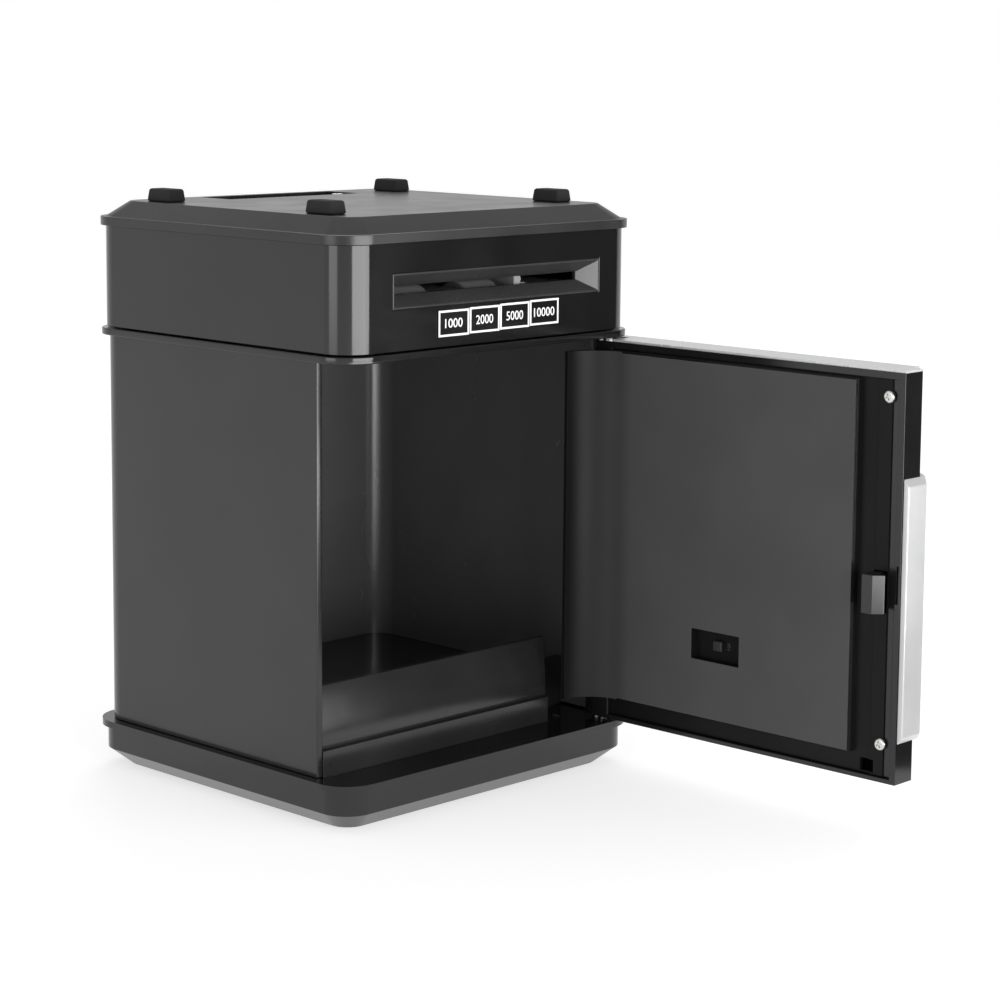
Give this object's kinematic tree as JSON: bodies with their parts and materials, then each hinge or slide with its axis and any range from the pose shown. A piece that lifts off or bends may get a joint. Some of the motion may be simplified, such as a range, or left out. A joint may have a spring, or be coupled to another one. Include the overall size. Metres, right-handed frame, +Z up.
{
  "type": "toy cash machine money bank",
  "caption": "Upright box-shaped money bank with a note slot in its head, a cash compartment behind a hinged keypad door, and rubber pads on top.",
  "frame": {"origin": "centre of the underside of the base", "axes": "+Z up, the front with the door opening faces -Y, the door's hinge is on the +X side"},
  "size_m": [0.138, 0.2462, 0.1942],
  "materials": {
    "black_gloss": "glossy moulded plastic",
    "black_satin": "satin moulded plastic",
    "silver_paint": "silver sprayed plastic",
    "silver_brushed": "brushed silver",
    "pad_rubber": "soft black rubber",
    "roller_rubber": "grey rubber",
    "label_print": "printed sticker",
    "screw_steel": "zinc plated",
    "shaft_steel": "ground steel",
    "white_nylon": "natural nylon",
    "grey_plastic": "moulded",
    "key_plastic": "satin key caps",
    "key_rubber": "silicone sheet",
    "board_green": "solder mask",
    "cell_jacket": "plain sleeve",
    "contact_nickel": "nickel plated",
    "speaker_dark": "pulp cone and magnet",
    "lamp_red": "tinted lens",
    "lamp_green": "tinted lens",
    "lamp_amber": "tinted lens"
  },
  "bodies": {
    "cabinet": {"base_tray": "black_gloss", "base_screws": "screw_steel", "base_deck": "black_gloss", "body_shell": "black_gloss", "cash_tray": "black_gloss", "mid_deck": "black_gloss", "hinge_pin_lower": "shaft_steel", "hinge_pin_upper": "shaft_steel", "head_shell": "black_gloss", "slot_bezel": "black_gloss", "label_plates": "label_print", "top_lid": "black_gloss", "rubber_pads": "pad_rubber", "cell_cover": "black_satin", "cell_cover_screw": "screw_steel", "cell_box": "black_satin", "cells": "cell_jacket", "cell_contacts": "contact_nickel", "roller_brackets": "grey_plastic", "note_guide": "grey_plastic", "drive_motor": "screw_steel", "motor_cradle": "grey_plastic", "board_pillars": "grey_plastic", "control_board": "board_green", "speaker": "speaker_dark"},
    "door": {"door_frame": "black_gloss", "inner_cover": "black_gloss", "cover_screws": "screw_steel", "fascia": "silver_paint", "door_grip": "silver_brushed", "keypad_membrane": "key_rubber", "keypad_board": "board_green", "latch_solenoid": "grey_plastic", "latch_spring": "shaft_steel", "sound_switch": "grey_plastic", "lamp_1": "lamp_green", "lamp_2": "lamp_red", "lamp_3": "lamp_amber"},
    "latch": {"latch_bolt": "black_gloss"},
    "sound_slider": {"sound_knob": "black_satin"},
    "feed_roller": {"drive_shaft": "shaft_steel", "feed_rollers": "roller_rubber", "drive_gear": "white_nylon"},
    "pinch_roller": {"pinch_shaft": "shaft_steel", "pinch_rollers": "roller_rubber"},
    "motor_rotor": {"motor_shaft": "shaft_steel", "motor_pinion": "white_nylon"},
    "key_01_cap": {"key_01": "key_plastic"},
    "key_02_cap": {"key_02": "key_plastic"},
    "key_03_cap": {"key_03": "key_plastic"},
    "key_04_cap": {"key_04": "key_plastic"},
    "key_05_cap": {"key_05": "key_plastic"},
    "key_06_cap": {"key_06": "key_plastic"},
    "key_07_cap": {"key_07": "key_plastic"},
    "key_08_cap": {"key_08": "key_plastic"},
    "key_09_cap": {"key_09": "key_plastic"},
    "key_10_cap": {"key_10": "key_plastic"},
    "key_11_cap": {"key_11": "key_plastic"},
    "key_12_cap": {"key_12": "key_plastic"}
  },
  "joints": [
    {"name": "door_hinge", "type": "hinge", "parent": "cabinet", "child": "door", "pos_m": [0.06015, -0.0552, 0.08], "axis": [0, 0, 1], "range_deg": [-91.25, 15]},
    {"name": "latch_slide", "type": "slide", "parent": "door", "child": "latch", "axis": [0.0218, -0.9998, 0], "range_m": [0, 0.0022], "stiffness_N_per_m": 60},
    {"name": "sound_slide", "type": "slide", "parent": "door", "child": "sound_slider", "axis": [-0.0218, 0.9998, 0], "range_m": [-0.00215, 0.00085]},
    {"name": "feed_spin", "type": "hinge", "parent": "cabinet", "child": "feed_roller", "pos_m": [0, -0.047, 0.1592], "axis": [1, 0, 0], "continuous": true},
    {"name": "pinch_spin", "type": "hinge", "parent": "cabinet", "child": "pinch_roller", "pos_m": [0, -0.047, 0.1727], "axis": [1, 0, 0], "continuous": true},
    {"name": "motor_spin", "type": "hinge", "parent": "cabinet", "child": "motor_rotor", "pos_m": [0.02, -0.03595, 0.1564], "axis": [1, 0, 0], "continuous": true},
    {"name": "key_01_press", "type": "slide", "parent": "door", "child": "key_01_cap", "axis": [-0.9998, -0.0218, 0], "range_m": [0, 0.0008], "stiffness_N_per_m": 400},
    {"name": "key_02_press", "type": "slide", "parent": "door", "child": "key_02_cap", "axis": [-0.9998, -0.0218, 0], "range_m": [0, 0.0008], "stiffness_N_per_m": 400},
    {"name": "key_03_press", "type": "slide", "parent": "door", "child": "key_03_cap", "axis": [-0.9998, -0.0218, 0], "range_m": [0, 0.0008], "stiffness_N_per_m": 400},
    {"name": "key_04_press", "type": "slide", "parent": "door", "child": "key_04_cap", "axis": [-0.9998, -0.0218, 0], "range_m": [0, 0.0008], "stiffness_N_per_m": 400},
    {"name": "key_05_press", "type": "slide", "parent": "door", "child": "key_05_cap", "axis": [-0.9998, -0.0218, 0], "range_m": [0, 0.0008], "stiffness_N_per_m": 400},
    {"name": "key_06_press", "type": "slide", "parent": "door", "child": "key_06_cap", "axis": [-0.9998, -0.0218, 0], "range_m": [0, 0.0008], "stiffness_N_per_m": 400},
    {"name": "key_07_press", "type": "slide", "parent": "door", "child": "key_07_cap", "axis": [-0.9998, -0.0218, 0], "range_m": [0, 0.0008], "stiffness_N_per_m": 400},
    {"name": "key_08_press", "type": "slide", "parent": "door", "child": "key_08_cap", "axis": [-0.9998, -0.0218, 0], "range_m": [0, 0.0008], "stiffness_N_per_m": 400},
    {"name": "key_09_press", "type": "slide", "parent": "door", "child": "key_09_cap", "axis": [-0.9998, -0.0218, 0], "range_m": [0, 0.0008], "stiffness_N_per_m": 400},
    {"name": "key_10_press", "type": "slide", "parent": "door", "child": "key_10_cap", "axis": [-0.9998, -0.0218, 0], "range_m": [0, 0.0008], "stiffness_N_per_m": 400},
    {"name": "key_11_press", "type": "slide", "parent": "door", "child": "key_11_cap", "axis": [-0.9998, -0.0218, 0], "range_m": [0, 0.0008], "stiffness_N_per_m": 400},
    {"name": "key_12_press", "type": "slide", "parent": "door", "child": "key_12_cap", "axis": [-0.9998, -0.0218, 0], "range_m": [0, 0.0008], "stiffness_N_per_m": 400}
  ],
  "couplings": [
    {"joint": "pinch_spin", "follows": "feed_spin", "ratio": -1.6},
    {"joint": "motor_spin", "follows": "feed_spin", "ratio": -2}
  ]
}
